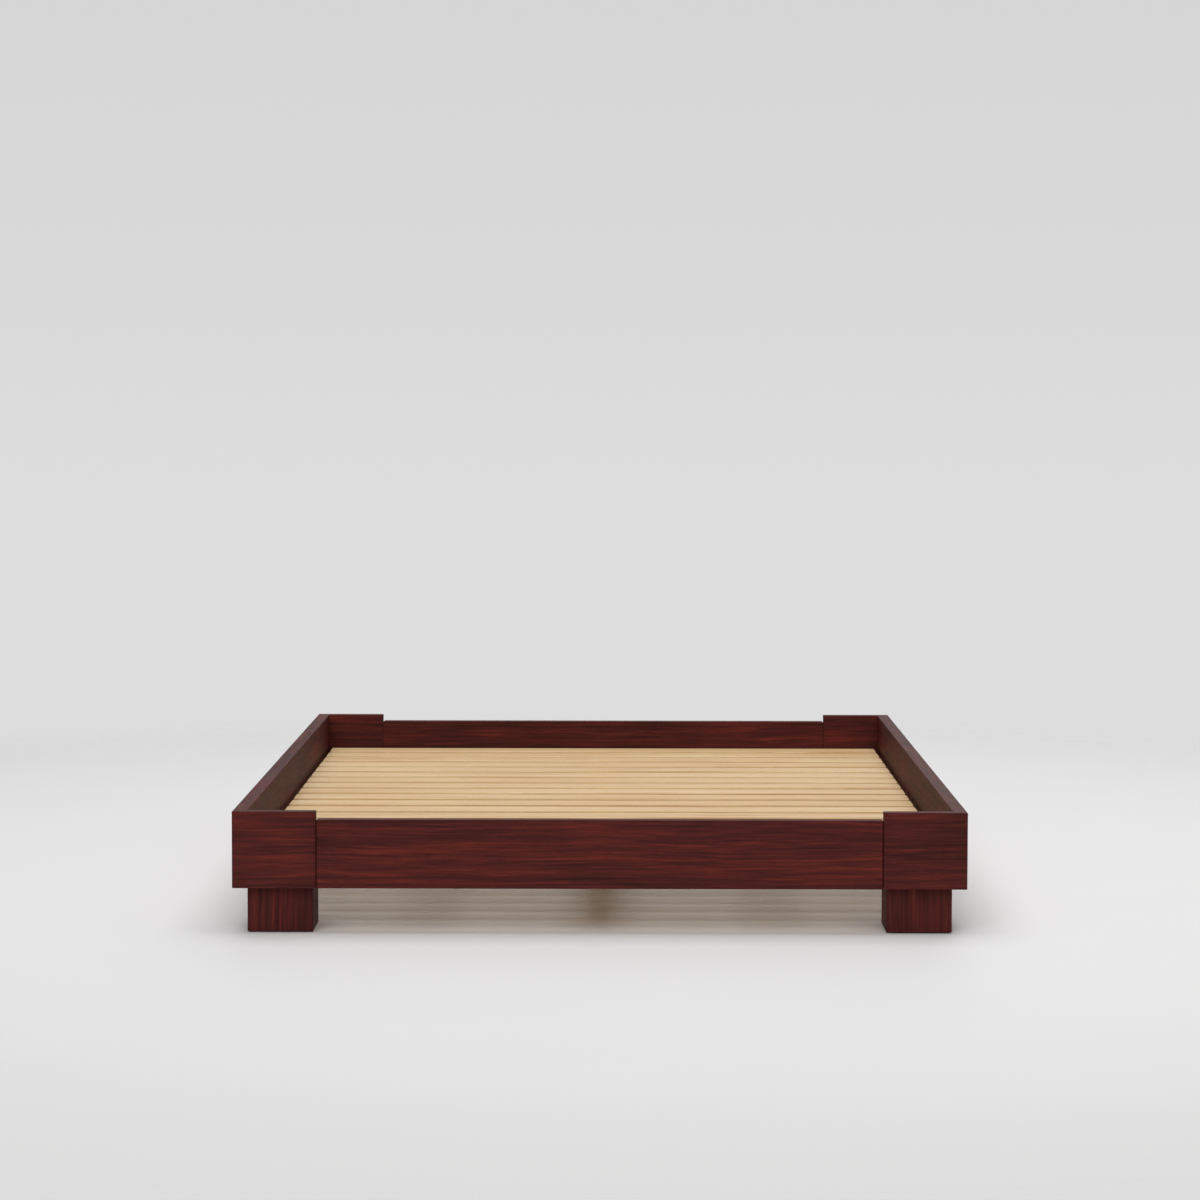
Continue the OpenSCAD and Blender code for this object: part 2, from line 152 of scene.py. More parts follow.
class Tree:
    # a material's or a world's node tree, with short calls that add and join nodes

    def __init__(self, owner):
        owner.use_nodes = True
        self.owner, self.made = owner, 0
        self.nodes, self.links = owner.node_tree.nodes, owner.node_tree.links
        self.shader = self.nodes.get("Principled BSDF")

    def put(self, socket, value):
        if isinstance(value, bpy.types.NodeSocket):
            self.links.new(value, socket)
        else:
            socket.default_value = value

    def add(self, kind, inputs=(), **settings):
        node = self.nodes.new("ShaderNode" + kind)
        node.location = (-1600 + 180 * (self.made % 8), 300 - 260 * (self.made // 8))
        self.made += 1
        for key, value in settings.items():
            setattr(node, key, value)
        for key, value in dict(inputs).items():
            self.put(node.inputs[key], value)
        return node

    def maths(self, operation, a, b=0.0):
        return self.add("Math", {0: a, 1: b}, operation=operation).outputs[0]

    def total(self, *parts):
        out = parts[0]
        for part in parts[1:]:
            out = self.maths("ADD", out, part)
        return out

    def share(self, value, amount):
        return self.maths("MULTIPLY", value, amount)

    def scaled(self, vector, factors):
        return self.add("VectorMath", {0: vector, 1: factors}, operation="MULTIPLY").outputs[0]

    def summed(self, a, b):
        return self.add("VectorMath", {0: a, 1: b}, operation="ADD").outputs[0]

    def lengthOf(self, vector):
        return self.add("VectorMath", {0: vector}, operation="LENGTH").outputs["Value"]

    def noise(self, vector, factors, detail=2.0, rough=0.5, warp=0.0, out="Fac"):
        return self.add("TexNoise", {"Vector": self.scaled(vector, factors), "Scale": 1.0, "Detail": detail,
                                     "Roughness": rough, "Distortion": warp}).outputs[out]

    def spread(self, value, low=0.3, high=0.7, toLow=0.0, toHigh=1.0, kind="LINEAR"):
        return self.add("MapRange", {"Value": value, "From Min": low, "From Max": high, "To Min": toLow,
                                     "To Max": toHigh}, interpolation_type=kind).outputs["Result"]

    def ramp(self, value, stops):
        node = self.add("ValToRGB", {"Fac": value})
        while len(node.color_ramp.elements) < len(stops):
            node.color_ramp.elements.new(0.5)
        for element, (place, colour) in zip(node.color_ramp.elements, stops):
            element.position, element.color = place, colour
        return node.outputs["Color"]

    def mixed(self, amount, a, b):
        node = self.add("Mix", data_type="RGBA", blend_type="MIX")
        for socket, value in zip([s for s in node.inputs if s.enabled], (amount, a, b)):
            self.put(socket, value)
        return [s for s in node.outputs if s.enabled][0]

    def objectPlace(self):
        return self.add("TexCoord").outputs["Object"]

    def bump(self, height, strength, depth):
        node = self.add("Bump", {"Height": height, "Strength": strength, "Distance": depth})
        self.links.new(node.outputs["Normal"], self.shader.inputs["Normal"])

    def finish(self, **sockets):
        names = {"colour": "Base Color", "rough": "Roughness", "metal": "Metallic", "alpha": "Alpha",
                 "gloss": "Specular IOR Level", "sheen": "Sheen Weight", "sheenRough": "Sheen Roughness"}
        for key, value in sockets.items():
            self.put(self.shader.inputs[names[key]], value)
        return self.owner


darkWood = {
    "wanderScale": (1.9, 4.0, 4.0), "wander": 0.032,          # slow bends of the grain
    "bandsPerMetre": 150.0, "bandShare": 0.26,                # growth rings
    "streakScale": (4.0, 88.0, 88.0), "streakShare": 0.44,    # dark and red streaks that fade in and out
    "fineScale": (8.0, 270.0, 270.0), "fineShare": 0.42,
    "cloudScale": (2.2, 12.0, 12.0), "cloudShare": 0.26,
    "fibreScale": (11.0, 640.0, 640.0), "fibreShare": 0.12,
    "poreScale": (42.0, 1500.0, 1500.0), "poreEdge": 0.60, "poreDark": 0.50,
    "poreColour": linear(36, 17, 15),
    "stops": ((0.22, linear(44, 17, 14)), (0.45, linear(69, 26, 22)), (0.61, linear(87, 32, 27)),
              (0.84, linear(118, 42, 35))),
    "wearColour": linear(52, 20, 17), "wearShare": 0.55,      # painted shade along the arrises, which darkens the seams between boards
    "rough": 0.56, "gloss": 0.10, "bump": 0.30,
}
paleWood = {
    "wanderScale": (1.1, 5.0, 5.0), "wander": 0.030,
    "bandsPerMetre": 230.0, "bandShare": 0.46,
    "streakScale": (2.2, 90.0, 90.0), "streakShare": 0.26,
    "fineScale": (5.0, 260.0, 260.0), "fineShare": 0.14,
    "cloudScale": (1.5, 8.0, 8.0), "cloudShare": 0.24,
    "fibreScale": (14.0, 700.0, 700.0), "fibreShare": 0.14,
    "poreScale": (60.0, 1900.0, 1900.0), "poreEdge": 0.62, "poreDark": 0.35,
    "poreColour": linear(146, 108, 68),
    "stops": ((0.22, linear(188, 146, 96)), (0.44, linear(208, 172, 124)), (0.64, linear(219, 188, 142)),
              (0.90, linear(230, 204, 162))),
    "wearColour": linear(232, 212, 176), "wearShare": 0.30,   # the arrises are sanded paler
    "rough": 0.55, "gloss": 0.35, "bump": 0.45,
}


def woodMaterial(name, w):
    # Rings round the tree's heart line bent by slow noise, plus streaks, fibres and pores drawn out along
    # the grain. It reads each board's own grain attribute, whose unit is one metre, and its arris attribute,
    # which paints shade on the dark wood's arrises and marks where the pale wood's arrises are sanded paler.
    t = Tree(bpy.data.materials.new(name))
    grain = t.add("Attribute", attribute_name="grain").outputs["Vector"]
    wander = t.summed(t.noise(grain, w["wanderScale"], out="Color"), (-0.5, -0.5, -0.5))
    bent = t.summed(grain, t.scaled(wander, (0.0, w["wander"], w["wander"])))
    fromHeart = t.lengthOf(t.scaled(bent, (0.0, 1.0, 1.0)))
    bands = t.add("TexNoise", {"W": t.share(fromHeart, w["bandsPerMetre"]), "Scale": 1.0, "Detail": 4.0,
                               "Roughness": 0.62}, noise_dimensions="1D").outputs["Fac"]
    clouds = t.noise(bent, w["cloudScale"])
    fibres = t.noise(grain, w["fibreScale"], detail=3.0, rough=0.65)
    pores = t.spread(t.noise(grain, w["poreScale"], detail=1.0), w["poreEdge"], w["poreEdge"] + 0.07)
    layers = {"bandShare": bands, "streakShare": t.noise(bent, w["streakScale"], detail=4.0, rough=0.6),
              "fineShare": t.noise(bent, w["fineScale"], detail=3.0, rough=0.6), "cloudShare": clouds,
              "fibreShare": fibres}
    whole = sum(w[key] for key in layers)
    figure = t.total(*[t.share(t.spread(value), w[key] / whole) for key, value in layers.items()])
    colour = t.mixed(t.share(pores, w["poreDark"]), t.ramp(figure, w["stops"]), w["poreColour"])
    # painted shade: the dark wood's colour goes darker along its arrises and in the seams between boards; the
    # pale wood's arrises are sanded paler
    wear = t.add("Attribute", attribute_name="wear").outputs["Fac"]
    patchyEdgeShadeAndWear = t.maths("MULTIPLY", wear, t.spread(clouds, 0.35, 0.65, 0.45, 1.0))
    colour = t.mixed(t.share(patchyEdgeShadeAndWear, w["wearShare"]), colour, w["wearColour"])
    rough = t.total(t.spread(fibres, toLow=w["rough"] - 0.05, toHigh=w["rough"] + 0.06), t.share(pores, 0.15))
    t.bump(t.total(t.share(fibres, 0.5), t.share(bands, 0.25), t.share(pores, -0.6)), w["bump"], 0.3 * mm)
    return t.finish(colour=colour, rough=rough, gloss=w["gloss"])


def metalMaterial(name, m):
    # a cloudy plated finish whose tint and roughness drift, with fine handling marks
    t = Tree(bpy.data.materials.new(name))
    place = t.objectPlace()
    clouds, marks = t.noise(place, plating["cloudScale"], detail=3.0), t.noise(place, plating["markScale"])
    colour = t.ramp(t.spread(clouds), ((0.1, m["dark"]), (0.9, m["light"])))
    smooth, dull = m["rough"] - plating["roughDrift"], m["rough"] + plating["roughDrift"]
    rough = t.total(t.spread(clouds, toLow=smooth, toHigh=dull), t.share(marks, 0.08))
    t.bump(marks, 0.25, 0.08 * mm)
    return t.finish(colour=colour, rough=rough, metal=1.0)


def plasticMaterial(name, p):
    # moulded plastic: spark-eroded texture in the bump and the gloss
    t = Tree(bpy.data.materials.new(name))
    place = t.objectPlace()
    texture, clouds = t.noise(place, p["textureScale"]), t.noise(place, p["cloudScale"])
    t.bump(texture, 0.5, 0.12 * mm)
    colour = t.ramp(clouds, ((0.3, p["dark"]), (0.7, p["light"])))
    return t.finish(colour=colour, rough=t.spread(texture, toLow=0.42, toHigh=0.6), gloss=0.4)


def feltMaterial(name, f):
    # pressed wool: short matted hairs as warped noise, with stray lighter hairs
    t = Tree(bpy.data.materials.new(name))
    place = t.objectPlace()
    hairs = t.noise(place, f["hairScale"], detail=4.0, rough=0.7, warp=1.6)
    stray = t.noise(place, f["strayScale"], warp=0.8)
    colour = t.ramp(t.spread(hairs), ((0.1, f["dark"]), (0.9, f["light"])))
    colour = t.mixed(t.spread(stray, 0.62, 0.7, 0.0, 0.5), colour, f["stray"])
    t.bump(hairs, 0.8, 0.6 * mm)
    return t.finish(colour=colour, rough=0.95, gloss=0.1, sheen=0.4, sheenRough=0.5)


def webbingMaterial(name, b):
    # Plain weave: yarns along and across the tape are two rounded waves, and the one on top alternates.
    # It reads the tape's own UV map, whose unit is one metre and whose U is 0 on the tape's middle.
    t = Tree(bpy.data.materials.new(name))
    uv = t.add("UVMap", uv_map="weave").outputs["UV"]
    parts = t.add("SeparateXYZ", {0: uv})
    across = t.maths("SINE", t.share(parts.outputs[0], math.pi / b["warpPitch"]))
    along = t.maths("SINE", t.share(parts.outputs[1], math.pi / b["weftPitch"]))
    yarns = t.maths("MAXIMUM", t.maths("ABSOLUTE", across), t.maths("ABSOLUTE", along))
    weave = t.total(t.share(yarns, 0.7), t.share(t.maths("MULTIPLY", across, along), 0.3))
    fuzz = t.noise(uv, b["fuzzScale"], detail=3.0, rough=0.7)
    # the colour is darker where the weave sinks: painted shade in the hollows between yarns, with random fuzz
    # on top
    colour = t.ramp(t.total(t.share(weave, 0.7), t.share(fuzz, 0.4)), ((0.15, b["dark"]), (0.95, b["light"])))
    fromMiddle = t.maths("ABSOLUTE", parts.outputs[0])
    stripe = t.spread(fromMiddle, b["stripeHalf"], b["stripeHalf"] + 0.3 * mm, 0.75, 0.0)
    colour = t.mixed(stripe, colour, b["stripe"])
    t.bump(t.total(weave, t.share(fuzz, 0.3)), 0.7, 0.4 * mm)
    return t.finish(colour=colour, rough=0.85, gloss=0.2, sheen=0.25, sheenRough=0.4)


plating = {"cloudScale": (160.0, 160.0, 160.0), "markScale": (2200.0, 2200.0, 900.0), "roughDrift": 0.06}
zinc = {"dark": linear(150, 152, 158), "light": linear(196, 198, 202), "rough": 0.32}
brass = {"dark": linear(158, 122, 62), "light": linear(206, 170, 98), "rough": 0.30}
plastic = {"dark": linear(22, 22, 24), "light": linear(34, 34, 37),
           "textureScale": (1900.0, 1900.0, 1900.0), "cloudScale": (60.0, 60.0, 60.0)}
felt = {"dark": linear(52, 49, 47), "light": linear(96, 91, 86), "stray": linear(140, 134, 126),
        "hairScale": (900.0, 900.0, 1500.0), "strayScale": (260.0, 2600.0, 1200.0)}
# cotton webbing: its dark colour is the painted shade between yarns, its light colour the yarns' tops
cotton = {"warpPitch": 1.1 * mm, "weftPitch": 1.6 * mm, "stripeHalf": 1.1 * mm, "stripe": linear(108, 52, 46),
          "dark": linear(168, 161, 148), "light": linear(236, 231, 220), "fuzzScale": (5200.0, 1400.0, 1.0)}
materials = {
    "dark": woodMaterial("darkStainedWood", darkWood), "pale": woodMaterial("paleSlatWood", paleWood),
    "zinc": metalMaterial("zincPlatedSteel", zinc), "brass": metalMaterial("turnedBrass", brass),
    "plastic": plasticMaterial("blackPlastic", plastic), "felt": feltMaterial("woolFelt", felt),
    "webbing": webbingMaterial("cottonWebbing", cotton),
}
print("materials ready")

# Meshes from arrays


def gridQuads(rows, columns, closed=True, loop=False):
    # Corner numbers of the quads between neighbouring rows and columns of a grid of points: closed joins the
    # last column to the first, and loop joins the last row to the first.
    i, j = np.meshgrid(np.arange(rows if loop else rows - 1), np.arange(columns if closed else columns - 1),
                       indexing="ij")
    right, above = (j + 1) % columns, (i + 1) % rows * columns
    here = i * columns
    return np.stack([here + j, here + right, above + right, above + j], axis=-1).reshape(-1, 4)


def meshOf(points, corners, counts):
    mesh = bpy.data.meshes.new("surface")
    mesh.vertices.add(len(points))
    mesh.vertices.foreach_set("co", np.ascontiguousarray(points, np.float32).ravel())
    mesh.loops.add(len(corners))
    mesh.loops.foreach_set("vertex_index", np.asarray(corners, np.int32))
    mesh.polygons.add(len(counts))
    mesh.polygons.foreach_set("loop_start", (np.cumsum(counts) - counts).astype(np.int32))
    mesh.update(calc_edges=True)
    mesh.validate()
    return mesh


def carried(rings, flip=False, loop=False):
    # rings of points one after another make a tube, closed by a many-sided face at each end or on itself
    rows, columns = rings.shape[:2]
    faces = [gridQuads(rows, columns, loop=loop)]
    if not loop:
        faces += [np.arange(columns)[None, ::-1], (rows - 1) * columns + np.arange(columns)[None]]
    if flip:
        faces = [corners[:, ::-1] for corners in faces]
    counts = np.concatenate([np.full(len(corners), corners.shape[1]) for corners in faces])
    return meshOf(rings.reshape(-1, 3), np.concatenate([corners.ravel() for corners in faces]), counts)


def pointsOf(mesh):
    flat = np.zeros(len(mesh.vertices) * 3, np.float32)
    mesh.vertices.foreach_get("co", flat)
    return flat.reshape(-1, 3).astype(float)


def cornersOf(mesh):
    index = np.zeros(len(mesh.loops), np.int32)
    mesh.loops.foreach_get("vertex_index", index)
    return index


def joined(meshes):
    # several meshes as one, their points and faces one after another
    points, corners, counts, start = [], [], [], 0
    for mesh in meshes:
        total = np.zeros(len(mesh.polygons), np.int32)
        mesh.polygons.foreach_get("loop_total", total)
        points.append(pointsOf(mesh))
        corners.append(cornersOf(mesh) + start)
        counts.append(total)
        start += len(mesh.vertices)
        bpy.data.meshes.remove(mesh)
    return meshOf(np.concatenate(points), np.concatenate(corners), np.concatenate(counts))


def drilled(mesh, cutters):
    # the mesh with the cutters taken out of it
    target, tool = placed("target", mesh), placed("tool", joined(cutters))
    cut = target.modifiers.new("cut", "BOOLEAN")
    cut.operation, cut.solver, cut.object = "DIFFERENCE", "EXACT", tool
    bpy.context.view_layer.update()
    made = bpy.data.meshes.new_from_object(target.evaluated_get(bpy.context.evaluated_depsgraph_get()))
    for o in (target, tool):
        data = o.data
        bpy.data.objects.remove(o)
        bpy.data.meshes.remove(data)
    return made


def setPointValues(mesh, name, kind, values):
    attribute = mesh.attributes.new(name, kind, "POINT")
    key = "vector" if kind == "FLOAT_VECTOR" else "value"
    attribute.data.foreach_set(key, np.ascontiguousarray(values, np.float32).ravel())


shading = {"sharpDeg": 32, "evenWeight": 80}


def piece(node, mesh, finish, body):
    # a finished mesh put in the scene, on its body and in place of its CAD node
    first, *rest = node.split("_")
    name = first + "".join(word.capitalize() for word in rest)
    mesh.name = name
    mesh.materials.clear()
    mesh.materials.append(materials[finish])
    mesh.shade_smooth()
    mesh.set_sharp_from_angle(angle=math.radians(shading["sharpDeg"]))
    made = placed(name, mesh)
    evened = made.modifiers.new("evened", "WEIGHTED_NORMAL")
    evened.keep_sharp, evened.weight = True, shading["evenWeight"]
    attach(made, body)
    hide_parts(node)
    return made


# Turned shapes: a profile of radius and height swept round an axis


def axesFrom(axis):
    axis = np.array(axis, float) / np.linalg.norm(axis)
    helper = z3 if abs(axis[2]) < 0.9 else x3
    first = np.cross(helper, axis)
    first /= np.linalg.norm(first)
    return first, np.cross(axis, first), axis


def turned(profile, seat, axis, count=32, shape=None, loop=False):
    # The point at angle a and profile row k is seat + radius(k) cos a, radius(k) sin a, height(k) in the
    # axis frame; shape, where given, works out the radii from each row, radius, height and angle.
    profile = np.array(profile, float)
    angle = np.linspace(0, 2 * math.pi, count, endpoint=False)[None, :]
    radius, height = (np.repeat(profile[:, k:k + 1], count, axis=1) for k in (0, 1))
    if shape is not None:
        radius = shape(np.arange(len(profile))[:, None], radius, height, angle)
    first, second, along = axesFrom(axis)
    rings = np.array(seat) + (radius * np.cos(angle))[..., None] * first \
        + (radius * np.sin(angle))[..., None] * second + height[..., None] * along
    return carried(rings, loop=loop)


sinking = {"above": 0.5 * mm, "clear": 0.05 * mm, "deeper": 2 * mm}


def bores(seats, radius, start, end, count=32):
    # a cylinder to cut away at each seat, from start to end along its axis
    return [turned([(radius, start), (radius, end)], p, a, count) for p, a in seats]


def sinks(seats, screw):
    # a screw's pilot hole with its countersunk mouth at each seat, starting just above the face
    shank, length, head, headHeight = screw
    s, hole = sinking, shank + sinking["clear"]
    mouth = head + s["clear"] + s["above"] * (head - shank) / headHeight
    profile = [(mouth, -s["above"]), (hole, headHeight), (hole, length + s["deeper"])]
    return [turned(profile, p, a, 28) for p, a in seats]


def roundedProfile(points, radii, steps=4):
    # The corners of a profile replaced by arcs: each arc starts and ends where a circle of the given
    # radius touches the two straight stretches.
    points = np.array(points, float)
    out = [points[:1]]
    for before, corner, after, radius in zip(points[:-2], points[1:-1], points[2:], radii):
        a, b = before - corner, after - corner
        a, b = a / np.linalg.norm(a), b / np.linalg.norm(b)
        half = math.acos(np.clip(a @ b, -1, 1)) / 2
        reach = radius / math.tan(half)
        middle = corner + (a + b) / np.linalg.norm(a + b) * radius / math.sin(half)
        start, stop = corner + a * reach - middle, corner + b * reach - middle
        share = np.linspace(0, 1, steps + 1)[:, None]
        sweep = math.pi - 2 * half
        out.append(middle + (np.sin((1 - share) * sweep) * start + np.sin(share * sweep) * stop)
                   / math.sin(sweep))
    out.append(points[-1:])
    return np.concatenate(out)


# Boards: a rounded rectangle carried along the grain

# A wood form holds the finish, the rounding along the edges, how far from a board's middle its tree's heart
# lies, how wide its figure is (under 1 widens it), and each end's kind with its rounding or bevel.

timber = {
    "finish": "dark", "arris": 1.5 * mm, "heart": (0.05, 0.13), "figure": 1.0,
    "mitre": ("mitre", 1.6 * mm), "square": ("square", 0.8 * mm), "seam": ("bevel", 3.5 * mm),
    "mitreGap": 0.05 * mm,         # half of the hairline at a mitre
    "mitreFade": 2.5,              # board thicknesses over which the stations turn from 45 degrees to square
    "roundPower": 2.0,             # a superellipse: 2 is a round and 1.2 a soft bevel
    "bevelPower": 1.2,
    "bevelEdge": 0.6 * mm,         # the most that a bevel takes off a board's inner side and lower edge
    "wearReach": 2.2 * mm,         # how far from an arris the painted shade on the dark wood, and the sanding on the pale wood, reaches
}
block = {"finish": "dark", "arris": 2.0 * mm, "heart": (0.07, 0.14), "figure": 0.55,
         "square": ("square", 1.0 * mm)}
hidden = {"finish": "pale", "arris": 2.0 * mm, "heart": (0.03, 0.09), "figure": 1.0,
          "square": ("square", 0.8 * mm), "post": ("square", 1.5 * mm)}
slat = {"finish": "pale", "arris": 2.4 * mm, "heart": (0.03, 0.12), "figure": 1.0,
        "square": ("square", 1.0 * mm)}


def sectionRing(arcSteps=4, sideSteps=3):
    # a rounded rectangle: each point's share of the way across and up, and the direction of its arc
    across, up, outX, outY = [], [], [], []
    corners = ((0, 0), (1, 0), (1, 1), (0, 1))
    share = np.linspace(0, 1, sideSteps + 1)[1:-1]
    for k, (cx, cy) in enumerate(corners):
        angle = math.pi + k * math.pi / 2 + np.linspace(0, math.pi / 2, arcSteps + 1)
        nextX, nextY = corners[(k + 1) % 4]
        across += [np.full(arcSteps + 1, cx), cx + (nextX - cx) * share]
        up += [np.full(arcSteps + 1, cy), cy + (nextY - cy) * share]
        outX += [np.cos(angle), np.full(len(share), np.cos(angle[-1]))]
        outY += [np.sin(angle), np.full(len(share), np.sin(angle[-1]))]
    return [np.concatenate(a) for a in (across, up, outX, outY)]


def endStations(kind, size, thick, gap=0.0):
    # Stations from a board's end inwards: where its outer and inner edges lie, then the insets of the
    # outer side, inner side, top and bottom.
    if kind == "mitre":      # an eighth of a round at the outer corner, then the 45 degree cut fades out
        turn = np.linspace(math.pi / 4, math.pi / 2, 4)
        edge, inset, zero = size * (1 - np.cos(turn)), size * (1 - np.sin(turn)), np.zeros(4)
        cut = np.stack([gap + edge, gap + thick + edge - edge[0], inset, zero, zero, zero], axis=1)
        squareAt = gap + timber["mitreFade"] * thick
        return np.append(cut, [[squareAt, squareAt, 0, 0, 0, 0]], axis=0)
    power = 2 / timber["bevelPower" if kind == "bevel" else "roundPower"]
    angle = np.linspace(0, math.pi / 2, 8 if kind == "bevel" else 5)
    along = gap + size * (1 - np.cos(angle) ** power)
    inset = size * (1 - np.sin(angle) ** power)
    small = np.minimum(inset, timber["bevelEdge"]) if kind == "bevel" else inset
    return np.stack([along, along, inset, small, inset, small], axis=1)


def board(origin, directions, size, nearEnd, farEnd, arris, steps=8, gap=0.0, sideSteps=3):
    # A point at share s across a station lies at its outer edge plus s of the way to its inner edge; the
    # section shrinks by the station's insets. Directions run along, inwards and up from the origin corner.
    length, thick, height = size
    across, up, outX, outY = sectionRing(sideSteps=sideSteps)
    near = endStations(*nearEnd, thick, gap)
    far = endStations(*farEnd, thick, gap)[::-1].copy()
    far[:, :2] = length - far[:, :2]
    middle = np.zeros((steps - 1, 6))
    middle[:, :2] = np.linspace(near[-1, 0], far[0, 0], steps + 1)[1:-1, None]
    outer, inner, setOuter, setInner, setTop, setLow = (
        np.concatenate([near, middle, far])[:, k, None] for k in range(6))
    t = setOuter + arris + across * (thick - setOuter - setInner - 2 * arris) + arris * outX
    h = setLow + arris + up * (height - setLow - setTop - 2 * arris) + arris * outY
    local = np.stack([outer + (inner - outer) * t / thick, t, h], axis=-1)
    directions = np.array(directions, float)
    return carried(np.array(origin) + local @ directions, flip=np.linalg.det(directions) > 0)


def grained(mesh, along, across, heart, box=None, figure=1.0):
    # Grain is the place along the board and out from its tree's heart line, and a figure under 1 widens its
    # pattern; the arris value, for painted edge shade and sanded wear, is 1 on the arrises and falls to 0 at
    # its reach.
    p = pointsOf(mesh)
    low, high = (p.min(0), p.max(0)) if box is None else box
    centre = p - (low + high) / 2
    local = np.stack([centre @ along, centre @ across, centre @ np.cross(along, across)], axis=1)
    setPointValues(mesh, "grain", "FLOAT_VECTOR", (local + np.array(heart)) * figure)
    gaps = np.sort(np.minimum(p - low, high - p), axis=1)
    setPointValues(mesh, "wear", "FLOAT", np.clip(1 - gaps[:, 1] / timber["wearReach"], 0, 1))
    return mesh


def heartLine(near, far):
    # how far along, and how far from the board's middle, the heart of its tree lies
    angle, away = random.uniform(0, 2 * math.pi), random.uniform(near, far)
    return random.uniform(0, 40), away * math.cos(angle), away * math.sin(angle)


def woodPart(node, directions, form, cutters=(), nearEnd="square", farEnd="square", broad=2, body="frame",
             **ways):
    # A board that fills its CAD node's box, running along the first direction from the corner that all three
    # lead away from; broad is the direction that crosses its wide face.
    low, high = boxOf(node)
    directions = np.array(directions)
    origin, size = np.where(directions.sum(axis=0) > 0, low, high), np.abs(directions @ (high - low))
    mesh = board(origin, directions, size, form[nearEnd], form[farEnd], form["arris"], **ways)
    if cutters:
        mesh = drilled(mesh, cutters)
    along, across = abs(directions[0]), abs(directions[broad])
    grained(mesh, along, across, heartLine(*form["heart"]), (low, high), form["figure"])
    piece(node, mesh, form["finish"], body)


# Screw and bolt patterns, the same as in the CAD. A screw is its shank's radius, length, head's radius and
# head's height.

fastening = {
    "boltPitch": 72 * mm, "boltGrip": 60 * mm, "boltRow": 14 * mm,       # rows' distance from the leg's edges
    "boltRadius": 4 * mm, "holeRadius": 4.5 * mm, "counterbore": 9 * mm,
    "washer": (8 * mm, 1.6 * mm), "boltHead": (6.48 * mm, 8 * mm), "boltLength": 79.6 * mm,
    "insert": (6 * mm, 20 * mm),
    "ledgeScrew": (2.5 * mm, 50 * mm, 5 * mm, 3 * mm), "ledgeScrews": 7,
    "cleatScrew": (2.5 * mm, 60 * mm, 5 * mm, 3 * mm), "cleatScrews": 6,
    "postScrew": (3 * mm, 98 * mm, 6 * mm, 3.6 * mm), "postScrewPitch": 36 * mm,
    "panScrew": (2.5 * mm, 30 * mm, 5 * mm, 2.8 * mm),
    "screwMargin": 100 * mm,
    "dowelMargin": 30 * mm, "mitreDowel": (3 * mm, 24 * mm), "seamDowel": (4 * mm, 40 * mm),
}
hanger = {"plate": 2 * mm, "flange": 20 * mm, "depth": 40 * mm, "bend": 2.5 * mm, "rows": (0.25, 0.75)}
bracket = {"plate": 3 * mm, "leg": 50 * mm, "height": 30 * mm, "bend": 3.5 * mm, "holes": (0.4, 0.78)}
levelling = {
    "sleeveRadius": 6 * mm, "sleeveLength": 25 * mm, "bore": 4.5 * mm, "boreLength": 45 * mm,
    "stem": 4 * mm, "pitch": 1.25 * mm, "threadDeep": 0.65 * mm, "neck": 3.4 * mm,
    "ball": 5.5 * mm, "ballAt": 6.5 * mm, "ballPlay": 0.1 * mm, "lip": 4.6 * mm,
    "flats": 13 * mm, "collar": 6 * mm, "collarEase": 0.6 * mm,
    "grooves": (4 * mm, 8 * mm, 12 * mm, 16 * mm), "grooveDeep": 0.4 * mm, "grooveWall": 0.3 * mm,
    "grooveWide": 1.3 * mm,
}


def pairAt(pitch):
    return -pitch / 2, pitch / 2


def sideBoltSeats():
    x, y, f = legCorner[0] + fastening["boltGrip"], legCorner[1] + legSide / 2, fastening
    return [((x, y + d, boardBottom + f["boltRow"]), -x3) for d in pairAt(f["boltPitch"])]


def cornerBoltSeats():
    x, y, f = legCorner[0] + legSide / 2, legCorner[1] + fastening["boltGrip"], fastening
    return [((x + d, y, ledgeTop - f["boltRow"]), -y3) for d in pairAt(f["boltPitch"])]


def ledgeScrewSeats():
    low, high = boxOf("side_ledge_left")
    margin = fastening["screwMargin"]
    return [((high[0], y, (low[2] + high[2]) / 2), -x3)
            for y in np.linspace(low[1] + margin, high[1] - margin, fastening["ledgeScrews"])]


def cleatScrewSeats():
    reach = sizeOf("foot_cleat")[0] / 2 - fastening["screwMargin"]
    return [((x, cleatBack, boardBottom + cleatHeight / 2), -y3)
            for x in np.linspace(-reach, reach, fastening["cleatScrews"])]


def bracketScrewSeats():
    z, corner, b = boardBottom + cleatHeight / 2, legCorner[0] + legSide, bracket
    toLeg = [((corner + b["plate"], cleatBack + d * b["leg"], z), -x3) for d in b["holes"]]
    toCleat = [((corner + d * b["leg"], cleatBack + b["plate"], z), -y3) for d in b["holes"]]
    return toLeg + toCleat


def hangerScrewSeats():
    low, high = boxOf("beam_hanger_foot")
    x = high[0] - hanger["flange"] / 2
    return [((side * x, cleatBack + hanger["plate"], low[2] + up * (high[2] - low[2])), -y3)
            for side in (-1, 1) for up in hanger["rows"]]


def postScrewSeats():
    return [((0, -postAt + d, ledgeTop), -z3) for d in pairAt(fastening["postScrewPitch"])]


def insertBores(seats):
    radius, length = fastening["insert"]
    return bores(seats, radius, fastening["boltGrip"] - mm, fastening["boltGrip"] + length)


def sideRail(side):
    # a side rail runs the bed's whole length and is mitred at both ends
    signs = quarterSigns("foot", side)
    cutters = insertBores(allSeats(sideBoltSeats(), both=[side]))
    cutters += sinks(moved(ledgeScrewSeats(), signs), fastening["ledgeScrew"])
    woodPart("side_rail_" + side, (y3, signs * x3, z3), timber, cutters, "mitre", "mitre", steps=24,
             gap=timber["mitreGap"])


